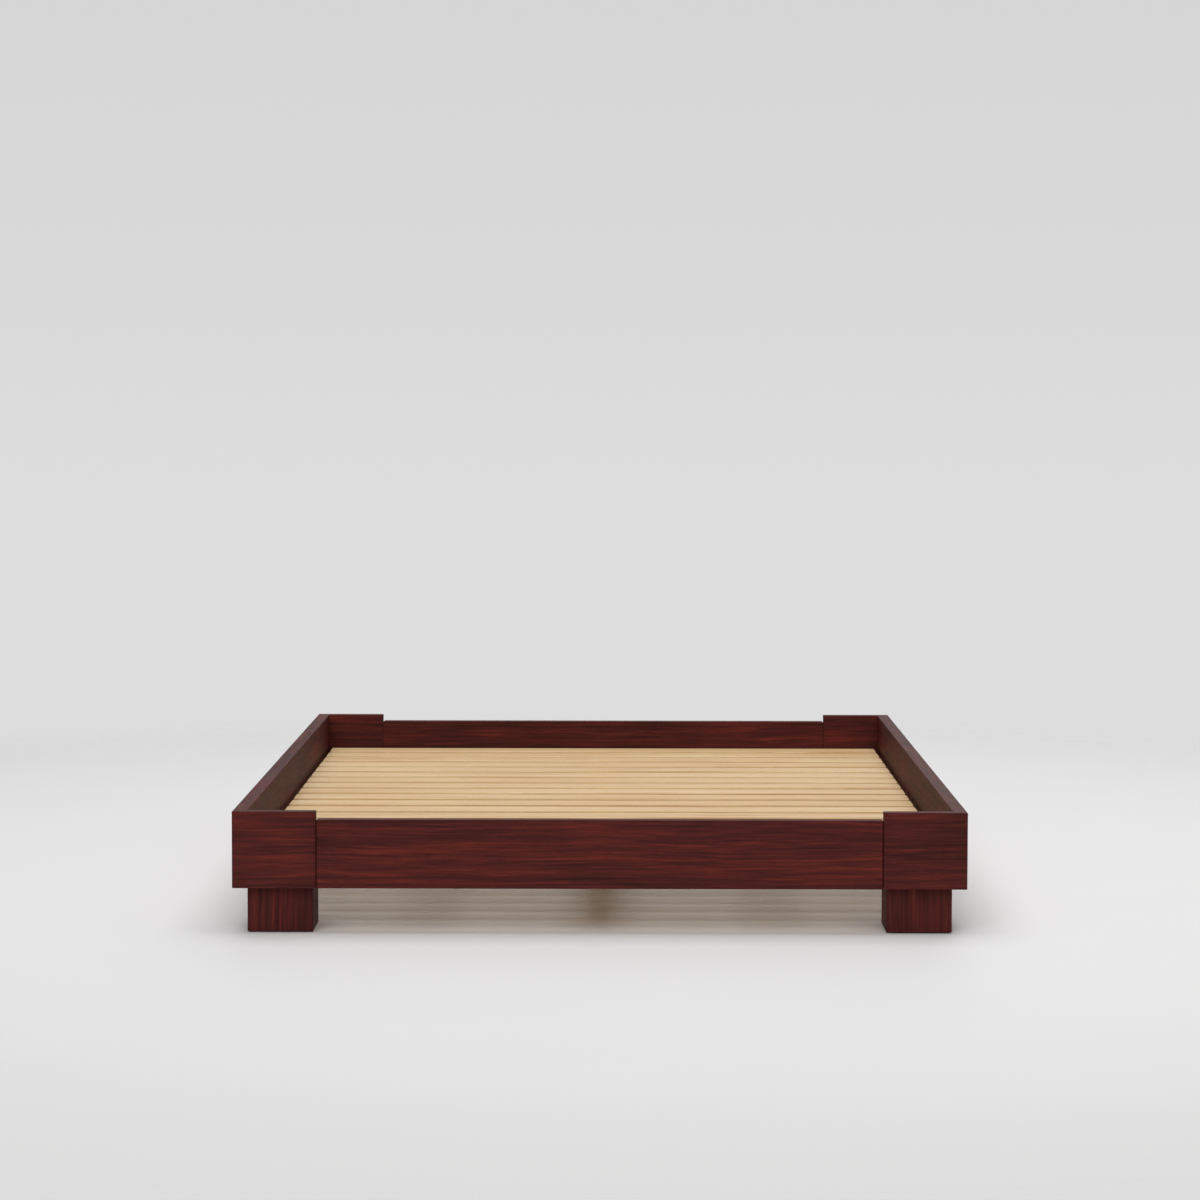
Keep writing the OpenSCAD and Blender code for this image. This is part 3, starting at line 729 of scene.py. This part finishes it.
def cornerBoard(end, side):
    # a corner board is mitred at the bed's corner and square at its inner end
    signs = quarterSigns(end, side)
    woodPart("corner_board_" + end + "_" + side, (signs * x3, signs * y3, z3), timber,
             insertBores(moved(cornerBoltSeats(), signs)), "mitre", steps=4, gap=timber["mitreGap"])


def endRail(end):
    # an end rail lies between two corner boards, bevelled where it meets them
    signs = quarterSigns(end, "left")
    cutters = sinks(moved(cleatScrewSeats(), signs), fastening["cleatScrew"])
    woodPart(end + "_rail", (x3, signs * y3, z3), timber, cutters, "seam", "seam", steps=20)


def leg(end, side):
    # a solid block with upright grain, bored from its inner faces for the leg bolts
    f, signs = fastening, quarterSigns(end, side)
    seats, small = (moved(s, signs) for s in (sideBoltSeats() + cornerBoltSeats(), bracketScrewSeats()[:2]))
    cutters = bores(seats, f["holeRadius"], -mm, f["boltGrip"] + mm)
    cutters += bores(seats, f["counterbore"], f["boltGrip"] - legSide - mm, 0, 40)
    cutters += bores(small, f["panScrew"][0], -mm, f["panScrew"][1] + mm, 20)
    woodPart("leg_" + end + "_" + side, (z3, x3, y3), block, cutters, broad=1)


for side in sides:
    sideRail(side)
for end in ends:
    endRail(end)
    for side in sides:
        cornerBoard(end, side)
        leg(end, side)
print("boards and legs ready")

# Ledges, cleats, beam and posts, in pale wood


def sideLedge(side):
    seats = moved(ledgeScrewSeats(), quarterSigns("foot", side))
    woodPart("side_ledge_" + side, (y3, x3, z3), hidden, sinks(seats, fastening["ledgeScrew"]), steps=16)


def endCleat(end):
    signs = quarterSigns(end, "left")
    shank, length = fastening["panScrew"][:2]
    small = moved(hangerScrewSeats(), signs) + allSeats(bracketScrewSeats()[2:], [end])
    cutters = sinks(moved(cleatScrewSeats(), signs), fastening["cleatScrew"])
    cutters += bores(small, shank, -mm, length + mm, 20)
    woodPart(end + "_cleat", (x3, y3, z3), hidden, cutters, steps=12)


def centreBeam():
    seats = allSeats(postScrewSeats(), both=["left"])
    woodPart("centre_beam", (y3, x3, z3), hidden, sinks(seats, fastening["postScrew"]), steps=16)


def supportPost(end):
    # bored from below for the levelling foot's sleeve and stem, and from above for the beam's screws
    node, v = "support_post_" + end, levelling
    shank, length = fastening["postScrew"][:2]
    foot = [((*middleOf(node)[:2], boxOf(node)[0][2]), z3)]
    cutters = bores(foot, v["sleeveRadius"], -mm, v["sleeveLength"], 40)
    cutters += bores(foot, v["bore"], v["sleeveLength"] - mm, v["boreLength"])
    cutters += bores(moved(postScrewSeats(), quarterSigns(end, "left")), shank, 0, length + mm, 20)
    woodPart(node, (z3, x3, y3), hidden, cutters, "post", "post", broad=1)


for side in sides:
    sideLedge(side)
for end in ends:
    endCleat(end)
    supportPost(end)
centreBeam()
print("slat support ready")

# Steel and brass fittings


def sixSided(flats, angle):
    # distance to a hexagon's edge at an angle, from its distance across flats
    return flats / 2 / np.cos((angle + math.pi / 6) % (math.pi / 3) - math.pi / 6)


def ridge(height, angle, pitch):
    # a helical thread: 0 at its root and 1 at its crest, as a triangle wave of height less turns
    return 1 - np.abs(2 * ((height / pitch - angle / (2 * math.pi)) % 1) - 1)


def threaded(first, last, pitch, perTurn=4):
    return np.linspace(first, last, max(2, int(round((last - first) / pitch * perTurn)) + 1))


boltForm = {"socket": 6 * mm, "socketDeep": 4 * mm, "knurls": 36, "knurlDeep": 0.12 * mm,
            "threadLong": 22 * mm, "pitch": 1.25 * mm, "threadDeep": 0.7 * mm, "tip": 0.9 * mm}


def legBolt(seat, axis):
    # cap bolt: a knurled head with a six-sided socket, a plain shank and a threaded end
    b, f = boltForm, fastening
    headRadius, headHeight = f["boltHead"]
    shank, top = f["boltRadius"], -f["washer"][1] - headHeight
    under, end = top + headHeight, top + headHeight + f["boltLength"]
    thread = threaded(end - b["threadLong"], end - 0.8 * mm, b["pitch"])
    socket = [(0.9, top + b["socketDeep"]), (1, top + b["socketDeep"]), (1, top + 0.5 * mm), (1.12, top)]
    head = [(headRadius - 0.9 * mm, top), (headRadius - 0.3 * mm, top + 0.3 * mm),
            (headRadius, top + 0.9 * mm), (headRadius, under - 0.5 * mm), (headRadius - 0.4 * mm, under),
            (shank, under)]
    firstTurn = len(socket) + len(head)
    profile = socket + head + [(shank, z) for z in thread] + [(shank - b["tip"], end)]

    def radii(row, radius, height, angle):
        radius = np.where(row < len(socket), sixSided(b["socket"], angle) * radius, radius)
        isKnurled = (row == len(socket) + 2) | (row == len(socket) + 3)
        radius = radius - b["knurlDeep"] * (np.cos(angle * b["knurls"]) < 0) * isKnurled
        isThread = (row > firstTurn) & (row < firstTurn + len(thread))
        return radius - b["threadDeep"] * (1 - ridge(height, angle, b["pitch"])) * isThread
    return turned(profile, seat, axis, 36, radii)


def legWasher(seat, axis):
    # a flat ring with eased edges, its section going once round
    (outer, thick), ease = fastening["washer"], 0.15 * mm
    inner = fastening["boltRadius"] + 0.2 * mm
    profile = [(inner, ease - thick), (inner + ease, -thick), (outer - ease, -thick), (outer, ease - thick),
               (outer, -ease), (outer - ease, 0), (inner + ease, 0), (inner, -ease)]
    return turned(profile[::-1], seat, axis, loop=True)


insertForm = {"coarsePitch": 2.5 * mm, "coarseDeep": 1.0 * mm, "finePitch": 1.25 * mm, "fineDeep": 0.35 * mm,
              "lead": 0.8 * mm, "outerEnd": 0.9 * mm, "mouth": 0.5 * mm, "play": 0.05 * mm}


def brassInsert(outer, inner, low, high, seat, axis):
    # a sleeve with a coarse wood thread outside and a fine one inside
    n = insertForm
    inner = inner + n["play"]
    coarse = threaded(low + n["lead"], high - n["lead"], n["coarsePitch"], 6)
    fine = threaded(low + n["lead"], high - n["lead"], n["finePitch"])[::-1]
    profile = [(outer - n["outerEnd"], low)] + [(outer, z) for z in coarse] + [(outer - n["outerEnd"], high)]
    rows = len(profile)
    profile += [(inner + n["mouth"], high)] + [(inner, z) for z in fine] + [(inner + n["mouth"], low)]

    def radii(row, radius, height, angle):
        cut = radius - n["coarseDeep"] * (1 - ridge(height, angle, n["coarsePitch"])) ** 2
        tapped = radius + n["fineDeep"] * ridge(height, angle, n["finePitch"])
        isOut, isIn = (row > 0) & (row < rows - 1), (row > rows) & (row < len(profile) - 1)
        return np.where(isOut, cut, np.where(isIn, tapped, radius))
    return turned(profile, seat, axis, 24, radii, loop=True)


screwForm = {"pitch": 2.4 * mm, "root": 0.68, "socket": 0.66, "socketDeep": 0.6, "face": 0.5, "neck": 0.8,
             "threadShare": 0.62, "domeBase": 0.35, "point": 0.1 * mm}


def screwMesh(screw, seat, axis, pan=False):
    # a wood screw: sunk or domed head with a six-sided socket, plain neck, coarse thread and a fine point
    shank, length, head, headHeight = screw
    s = screwForm
    top = -headHeight if pan else 0.0
    floor, socket, neck = top + s["socketDeep"] * headHeight, s["socket"] * head, s["neck"] * shank
    if pan:
        rise = s["domeBase"] + (1 - s["domeBase"]) * np.cos(np.linspace(0.55, 1, 4) * math.pi / 2)
        reach = np.sin(np.linspace(0.55, 1, 4) * math.pi / 2)
        crown = list(zip(head * reach, -headHeight * rise)) + [(head, -0.3 * mm), (head - 0.3 * mm, 0)]
    else:
        crown = [(head - 0.25 * mm, 0), (head, 0.18 * mm), (shank + 0.4 * mm, headHeight - 0.4 * mm)]
    start, taper = length * (1 - s["threadShare"]), length - 3 * shank
    thread = threaded(start, taper, s["pitch"], 5)
    point = threaded(taper, length - 0.3 * mm, s["pitch"], 5)[1:]
    tips = shank * (1 - 0.9 * (point - point[0]) / (point[-1] - point[0]))
    profile = [(socket * 0.9, floor), (socket, floor), (socket, top + 0.2 * mm), (head * s["face"], top)]
    profile += crown + [(neck, headHeight + 0.6 * mm), (neck, start - 0.5 * mm)]
    firstTurn = len(profile)
    profile += [(shank, z) for z in thread] + list(zip(tips, point)) + [(s["point"], length)]

    def radii(row, radius, height, angle):
        radius = np.where(row < 3, sixSided(radius, angle), radius)
        cut = 1 - (1 - s["root"]) * (1 - ridge(height, angle, s["pitch"]) ** 2)
        return np.where((row >= firstTurn) & (row < len(profile) - 1), radius * cut, radius)
    return turned(profile, seat, axis, 18, radii)


def together(node, finish, body, meshes):
    return piece(node, joined(meshes), finish, body)


boltSeats = allSeats(sideBoltSeats() + cornerBoltSeats())
grip, shank, sleeve = fastening["boltGrip"], fastening["boltRadius"], fastening["insert"]
together("leg_bolts", "zinc", "frame", [legBolt(p, a) for p, a in boltSeats])
together("leg_washers", "zinc", "frame", [legWasher(p, a) for p, a in boltSeats])
together("leg_inserts", "brass", "frame",
         [brassInsert(sleeve[0], shank, grip, grip + sleeve[1], p, a) for p, a in boltSeats])
for node, screw, seats, pan in (
        ("ledge_screws", "ledgeScrew", allSeats(ledgeScrewSeats(), ["foot"]), False),
        ("cleat_screws", "cleatScrew", allSeats(cleatScrewSeats(), both=["left"]), False),
        ("post_screws", "postScrew", allSeats(postScrewSeats(), both=["left"]), False),
        ("bracket_screws", "panScrew", allSeats(bracketScrewSeats()), True),
        ("hanger_screws", "panScrew", allSeats(hangerScrewSeats(), both=["left"]), True)):
    together(node, "zinc", "frame", [screwMesh(fastening[screw], p, a, pan) for p, a in seats])
print("bolts and screws ready")


def bentPlate(line, up, low, high, thick, ease=0.35 * mm):
    # A plate's section carried along its bent middle line of points in plan: each ring lies across the line
    # there, thick from side to side and high along up, which is y or z, with eased edges.
    along = np.full(len(line), low)
    route = np.column_stack([line, along] if up[2] else [line[:, 0], along, line[:, 1]])
    run = np.gradient(route, axis=0)
    run /= np.linalg.norm(run, axis=1)[:, None]
    side = np.cross(run, up)
    across, rise, outX, outY = sectionRing(arcSteps=2, sideSteps=2)
    t = (across - 0.5) * (thick - 2 * ease) + ease * outX
    h = ease + rise * (high - 2 * ease) + ease * outY
    return carried(route[:, None, :] + side[:, None, :] * t[None, :, None] + up * h[None, :, None], flip=True)


def bendLine(corners, radius, steps=6, spacing=12 * mm):
    # straight stretches of plan points joined by arcs, with points about one spacing apart
    flat = roundedProfile(corners, [radius] * (len(corners) - 2), steps)
    out = [flat[:1]]
    for a, b in zip(flat[:-1], flat[1:]):
        pieces = max(1, int(np.linalg.norm(b - a) / spacing))
        out.append(a + (b - a) * (np.arange(1, pieces + 1) / pieces)[:, None])
    return np.concatenate(out)


def plateHoles(plate, seats):
    return bores(seats, fastening["panScrew"][0] + 0.3 * mm, -plate - mm, plate + mm, 24)


def mirrored(mesh, signs):
    mesh.transform(Matrix.Diagonal((*signs.tolist(), 1)))
    if signs[0] * signs[1] < 0:
        mesh.flip_normals()
    return mesh


def angleBracket(end, side):
    # two flanges at a right angle, one on the leg and one on the cleat
    b, half = bracket, bracket["plate"] / 2
    x, y = legCorner[0] + legSide, cleatBack
    line = bendLine([(x + half, y + b["leg"]), (x + half, y + half), (x + b["leg"], y + half)], b["bend"])
    plate = bentPlate(line, z3, boardBottom + (cleatHeight - b["height"]) / 2, b["height"], b["plate"])
    return mirrored(drilled(plate, plateHoles(b["plate"], bracketScrewSeats())), quarterSigns(end, side))


def beamHanger(end):
    # A strip bent under the beam: floor, two walls and two fixing flanges. The walls and floor are one bent
    # plate, and each flange is another that turns out of its wall.
    low, high = boxOf("beam_hanger_foot")
    h, half, tall = hanger, hanger["plate"] / 2, high[2] - low[2]
    wallX, y = high[0] - h["flange"] - half, low[1]
    line = bendLine([(-wallX, tall), (-wallX, half), (wallX, half), (wallX, tall)], h["bend"])
    parts = [bentPlate(line + np.array([0, low[2]]), y3, y, h["depth"], h["plate"])]
    for s in (-1, 1):
        line = bendLine([(s * wallX, y + 3 * h["bend"]), (s * wallX, y + half),
                         (s * (wallX + half + h["flange"]), y + half)], h["bend"])[::s]
        flange = bentPlate(line, z3, low[2] + h["plate"], tall - h["plate"], h["plate"] - 0.02 * mm)
        seats = [(p, a) for p, a in hangerScrewSeats() if p[0] * s > 0]
        parts.append(drilled(flange, plateHoles(h["plate"], seats)))
    piece("beam_hanger_" + end, mirrored(joined(parts), quarterSigns(end, "left")), "zinc", "frame")


def levellingStem(end):
    # ball end, neck, six-sided collar and a threaded stem that screws up into the post
    node, v = "levelling_stem_" + end, levelling
    high = boxOf(node)[1][2]
    collarLow = boxOf("levelling_pad_" + end)[1][2] + 0.05 * mm
    collarTop = collarLow + v["collar"]
    turn = np.linspace(math.radians(4), math.radians(140), 12)
    profile = [(v["ball"] * math.sin(a), v["ballAt"] - v["ball"] * math.cos(a)) for a in turn]
    profile += [(v["neck"], v["ballAt"] + v["ball"] * 0.86), (v["neck"], collarLow - 0.2 * mm)]
    first = len(profile)
    profile += [(0.93, collarLow), (1.0, collarLow + v["collarEase"]), (1.0, collarTop - v["collarEase"]),
                (0.93, collarTop), (v["neck"], collarTop), (v["neck"], collarTop + 0.5 * mm)]
    start = len(profile)
    thread = threaded(collarTop + 0.8 * mm, high - 0.9 * mm, v["pitch"], 5)
    profile += [(v["stem"], z) for z in thread] + [(v["stem"] - 1.0 * mm, high)]

    def radii(row, radius, height, angle):
        hexagon = sixSided(v["flats"], angle)
        rounded = np.where(radius < 0.99, np.minimum(hexagon, v["flats"] / 2 * 1.03), hexagon)
        radius = np.where((row >= first) & (row < first + 4), rounded, radius)
        isThread = (row >= start) & (row < start + len(thread))
        return radius - isThread * v["threadDeep"] * (1 - ridge(height, angle, v["pitch"]))
    piece(node, turned(profile, (*middleOf(node)[:2], 0), z3, 48, radii), "zinc", "foot_stem_" + end)


def levellingPad(end):
    # a moulded pad: tread rings below, a coned top and the socket that holds the stem's ball
    node, v = "levelling_pad_" + end, levelling
    rim, top = sizeOf(node)[0] / 2, boxOf(node)[1][2]
    wall, wide, deep = v["grooveWall"], v["grooveWide"], v["grooveDeep"]
    sole = [point for r in v["grooves"]
            for point in ((r, 0), (r + wall, deep), (r + wide - wall, deep), (r + wide, 0))]
    outline = roundedProfile([(rim - 2 * mm, 0), (rim, 0), (rim, 4 * mm), (10 * mm, top), (7.6 * mm, top)],
                             [1.0 * mm, 1.2 * mm, 1.2 * mm])
    clear = v["ball"] + v["ballPlay"]
    turn = np.linspace(math.pi - math.asin(v["lip"] / clear), math.radians(4), 12)
    socket = [(clear * math.sin(a), v["ballAt"] - clear * math.cos(a)) for a in turn]
    profile = [(1 * mm, 0)] + sole + outline.tolist() + [(5.4 * mm, top), (v["lip"], top - 0.8 * mm)] + socket
    piece(node, turned(profile, (*middleOf(node)[:2], 0), z3, 64), "plastic", "foot_pad_" + end)


together("angle_brackets", "zinc", "frame", [angleBracket(e, s) for e in ends for s in sides])
for end in ends:
    beamHanger(end)
    levellingStem(end)
    levellingPad(end)
sleeveLow, sleeveHigh = (corner[2] for corner in boxOf("post_inserts"))
together("post_inserts", "brass", "frame", [
    brassInsert(levelling["sleeveRadius"], levelling["stem"], sleeveLow, sleeveHigh, (0, y, 0), z3)
    for y in (-postAt, postAt)])

dowelForm = {"cone": 1.5 * mm, "end": 1.2 * mm, "flutes": 12, "fluteDeep": 0.18 * mm, "heart": (0.02, 0.05)}


def dowelMesh(size, seat, axis):
    # a fluted beech pin with coned ends
    (radius, length), d = size, dowelForm
    half = length / 2
    profile = [(radius - d["end"], -half), (radius, d["cone"] - half), (radius, half - d["cone"]),
               (radius - d["end"], half)]

    def radii(row, radius, height, angle):
        isSide = (row == 1) | (row == 2)
        return radius - d["fluteDeep"] * (np.cos(angle * d["flutes"]) > 0.5) * isSide
    return turned(profile, seat, axis, 48, radii)


def mitreDowelSeats():
    low, high = boxOf("side_rail_left")
    margin = fastening["dowelMargin"]
    return [((*(legCorner - boardThick / 2), z), (1, -1, 0))
            for z in (low[2] + margin, (low[2] + high[2]) / 2, high[2] - margin)]


def seamDowelSeats():
    low, high = boxOf("foot_rail")
    x = (boxOf("corner_board_foot_left")[1][0] + low[0]) / 2
    margin = fastening["dowelMargin"]
    return [((x, (low[1] + high[1]) / 2, z), x3) for z in (low[2] + margin, high[2] - margin)]


for node, size, seats in (("mitre_dowels", "mitreDowel", mitreDowelSeats()),
                          ("seam_dowels", "seamDowel", seamDowelSeats())):
    mesh = joined([dowelMesh(fastening[size], p, a) for p, a in allSeats(seats)])
    piece(node, grained(mesh, x3, z3, heartLine(*dowelForm["heart"])), "pale", "frame")

glide = {"ease": 0.7 * mm}


def feltGlide(end, side):
    # a pressed pad, a little crushed round its edge by the leg's weight
    low, high = boxOf("felt_glides")
    size = np.append(legSide - 2 * (low[:2] - legCorner), high[2] - low[2])
    corner = np.array([low[0], low[1], 0.0])
    origin = np.where(quarterSigns(end, side) > 0, corner, -corner - size)
    crushed = ("square", glide["ease"])
    return board(origin, (x3, y3, z3), size, crushed, crushed, glide["ease"], steps=10, sideSteps=6)


together("felt_glides", "felt", "frame", [feltGlide(e, s) for e in ends for s in sides])
print("brackets, feet, dowels and glides ready")

# Slats, webbing and staples

tape = {"sag": 1.1 * mm, "edge": 0.3 * mm}
staple = {"pitch": 36 * mm, "crown": 12 * mm, "leg": 9 * mm, "bend": 1.0 * mm,
          "wire": 0.6 * mm, "halfWide": 0.55 * mm}      # flat wire, thickness and half its width
slatNodes = sorted(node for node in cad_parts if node.startswith("slat_"))
slatMiddles = np.array([middleOf(node)[1] for node in slatNodes])

for node in slatNodes:
    woodPart(node, (x3, y3, z3), slat, broad=1, body="slat_mat", steps=14, sideSteps=4)
print(len(slatNodes), "slats ready")


def wireStaple(x, y, under):
    # a wire carried up one leg, across under the tape and up the other, six-sided in section
    s = staple
    w = s["wire"] / 2
    half, top = s["crown"] / 2 - w, s["leg"] - w
    line = roundedProfile([(-half, top), (-half, 0), (half, 0), (half, top)], [s["bend"], s["bend"]], 3)
    run = np.gradient(line, axis=0)
    run /= np.linalg.norm(run, axis=1)[:, None]
    angle = np.linspace(0, 2 * math.pi, 6, endpoint=False)
    rings = np.stack([x + line[:, :1] + w * np.cos(angle) * run[:, 1:],
                      y + s["halfWide"] * np.sin(angle) * np.ones((len(line), 1)),
                      under + line[:, 1:] - w * np.cos(angle) * run[:, :1]], axis=-1)
    return carried(rings, flip=True)


def webbingTape(side):
    # The tape lies flat under each slat and dips a little between them: its drop is a half sine over each
    # gap. Its UV map counts metres across from the middle and along.
    node, e = "webbing_" + side, tape["edge"]
    low, high = boxOf(node)
    starts, stops = (slatMiddles + k * sizeOf(slatNodes[0])[1] / 2 for k in (-1, 1))
    y = np.unique(np.concatenate([np.linspace(low[1], high[1], 160), starts, stops]))
    drop = np.zeros_like(y)
    for a, b in zip(stops[:-1], starts[1:]):
        drop += tape["sag"] * np.sin(math.pi * np.clip((y - a) / (b - a), 0, 1))
    wide, length, thick = high - low
    across, rise, outX, outY = sectionRing(arcSteps=2, sideSteps=8)
    x = (low[0] + high[0]) / 2 + (across - 0.5) * (wide - 2 * e) + e * outX
    z = low[2] + e + rise * (thick - 2 * e) + e * outY
    rings = np.stack([np.tile(x, (len(y), 1)), np.tile(y[:, None], (1, len(x))), z - drop[:, None]], axis=-1)
    mesh = carried(rings, flip=True)
    p = pointsOf(mesh)[cornersOf(mesh)]
    weave = np.stack([p[:, 0] - (low[0] + high[0]) / 2, p[:, 1] - low[1]], axis=1)
    mesh.uv_layers.new(name="weave").data.foreach_set("uv", weave.astype(np.float32).ravel())
    piece(node, mesh, "webbing", "slat_mat")


stapleLow = boxOf("webbing_left")[0][2] - staple["wire"] / 2
together("webbing_staples", "zinc", "slat_mat", [
    wireStaple(middleOf("webbing_" + side)[0], y + d, stapleLow)
    for side in sides for y in slatMiddles for d in pairAt(staple["pitch"])])
for side in sides:
    webbingTape(side)
print("webbing ready")

# Stage and light

stage = {
    "floor": linear(232, 231, 231), "mottle": (0.70, 0.69, 0.69, 1), "mottleScale": (3.0, 3.0, 3.0),
    "floorLow": -0.2 * mm, "lines": 41,
    "solidTo": 2.4, "goneBy": 3.8,       # m from the bed's middle, where the floor fades into the backdrop
    # what the camera sees behind, and the sky that lights the bed: low, high, and the heights between
    "wallLow": linear(221, 221, 221), "wallHigh": linear(214, 214, 214), "wallReach": (-0.06, 0.12),
    "skyLow": (0.60, 0.60, 0.60, 1), "skyHigh": (0.16, 0.16, 0.16, 1), "skyReach": (0.05, 0.45),
}


def makeFloor(s):
    t = Tree(bpy.data.materials.new("paleFloor"))
    place = t.objectPlace()
    away = t.lengthOf(place)
    mottled = t.noise(place, s["mottleScale"], detail=4.0)
    colour = t.mixed(t.spread(mottled, 0.35, 0.65, 0.0, 0.05), s["floor"], s["mottle"])
    alpha = t.spread(away, s["solidTo"], s["goneBy"], 1.0, 0.0, "SMOOTHSTEP")
    reach = np.linspace(-1, 1, s["lines"]) * (s["goneBy"] + 0.2)
    x, y = np.meshgrid(reach, reach, indexing="ij")
    quads = gridQuads(s["lines"], s["lines"], closed=False)[:, ::-1]
    points = np.stack([x, y, np.full_like(x, s["floorLow"])], axis=-1).reshape(-1, 3)
    mesh = meshOf(points, quads.ravel(), np.full(len(quads), 4))
    mesh.materials.append(t.finish(colour=colour, rough=0.62, gloss=0.25, alpha=alpha))
    placed("floor", mesh)


def makeLight(name, kind, back, place=(0, 0, 0), **settings):
    # a light that shines away from the back direction; a sun with a wide angle is a very distant softbox
    data = bpy.data.lights.new(name, kind)
    for key, value in settings.items():
        setattr(data, key, value)
    facing = Vector(back).to_track_quat("Z", "Y").to_matrix().to_4x4()
    placed(name, data).matrix_world = Matrix.Translation(place) @ facing


def makeWorld(s):
    # both what the camera sees and what lights the bed are brighter at the horizon than overhead
    t = Tree(bpy.data.worlds.new("studio"))
    height = t.add("SeparateXYZ", {0: t.add("TexCoord").outputs["Generated"]}).outputs[2]
    light, seen = t.nodes["Background"], t.add("Background")
    for node, name in ((light, "sky"), (seen, "wall")):
        share = t.spread(height, *s[name + "Reach"], kind="SMOOTHSTEP")
        t.put(node.inputs["Color"], t.mixed(share, s[name + "Low"], s[name + "High"]))
    mix = t.add("MixShader", {0: t.add("LightPath").outputs["Is Camera Ray"], 1: light.outputs[0],
                              2: seen.outputs[0]})
    t.links.new(mix.outputs[0], t.nodes["World Output"].inputs["Surface"])
    bpy.context.scene.world = t.owner


makeFloor(stage)
makeWorld(stage)
makeLight("overhead", "AREA", z3, (0, -0.3, 5.6), shape="RECTANGLE", size=5.5, size_y=5.5, energy=215)
makeLight("frontKey", "SUN", (-0.12, -1, 0.75), angle=math.radians(42), energy=1.42)
makeLight("rearFill", "SUN", (0.2, 1, 0.55), angle=math.radians(40), energy=0.42)
bpy.context.scene.view_settings.view_transform = "Standard"
print("stage ready")
